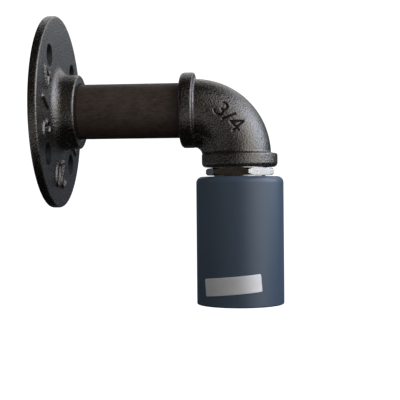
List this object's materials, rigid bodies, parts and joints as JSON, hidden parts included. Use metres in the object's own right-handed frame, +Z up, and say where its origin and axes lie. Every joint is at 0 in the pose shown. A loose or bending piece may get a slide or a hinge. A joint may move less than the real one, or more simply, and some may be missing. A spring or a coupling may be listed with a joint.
{
  "type": "pipe wall light",
  "caption": "Wall light of iron pipe fittings: a round floor flange, a short pipe and a banded elbow carry a metal cup with a porcelain screw lampholder, pointing down.",
  "frame": {"origin": "centre of the wall flange's flat back face, which lies on the wall", "axes": "+X out of the wall along the pipe; +Z up; the cup hangs towards -Z"},
  "size_m": [0.1138, 0.094, 0.1413],
  "materials": {
    "cast_casting": "sand cast, dark lacquer, fine grain",
    "steel_pipe": "dark oiled steel, faint streaks along the pipe",
    "nickel_plate": "bright nickel plate",
    "zinc_steel": "zinc plated steel",
    "cup_paint": "satin slate grey paint",
    "foil": "matt silver foil, blank",
    "guard_plastic": "black",
    "porcelain": "glazed white",
    "shell_plate": "thin rolled sheet",
    "bronze": "springy bronze",
    "brass_block": "turned and drilled",
    "live_insulation": "brown insulation",
    "neutral_insulation": "blue insulation",
    "earth_insulation": "green and yellow insulation",
    "collar_plastic": "grey"
  },
  "bodies": {
    "wall_mount": {"wall_flange": "cast_casting", "pipe_nipple": "steel_pipe"},
    "elbow_arm": {"pipe_elbow": "cast_casting", "hex_bush": "nickel_plate", "cup_washer": "nickel_plate", "lamp_cup": "cup_paint", "foil_label": "foil", "lamp_nipple": "zinc_steel", "nipple_bushing": "guard_plastic", "lock_washer": "zinc_steel", "earth_tag": "brass_block", "cup_locknut": "zinc_steel", "holder_bracket": "zinc_steel", "bracket_screws": "zinc_steel", "bracket_inserts": "brass_block", "porcelain_body": "porcelain", "screw_shell": "shell_plate", "shell_screws": "zinc_steel", "contact_screw": "zinc_steel", "live_terminal": "brass_block", "neutral_terminal": "brass_block", "terminal_screws": "zinc_steel", "live_wire": "live_insulation", "neutral_wire": "neutral_insulation", "earth_wire": "earth_insulation", "ferrule_pins": "zinc_steel", "ferrule_collars": "collar_plastic"},
    "centre_contact": {"centre_contact": "bronze"}
  },
  "joints": [
    {"name": "elbow_swivel", "type": "hinge", "parent": "wall_mount", "child": "elbow_arm", "pos_m": [0.0643, 0, 0], "axis": [1, 0, 0], "range_deg": [-90, 90]},
    {"name": "contact_spring", "type": "hinge", "parent": "elbow_arm", "child": "centre_contact", "pos_m": [0.0926, 0.0086, -0.06165], "axis": [-1, 0, 0], "range_deg": [0, 6], "stiffness_Nm_per_rad": 0.4}
  ]
}
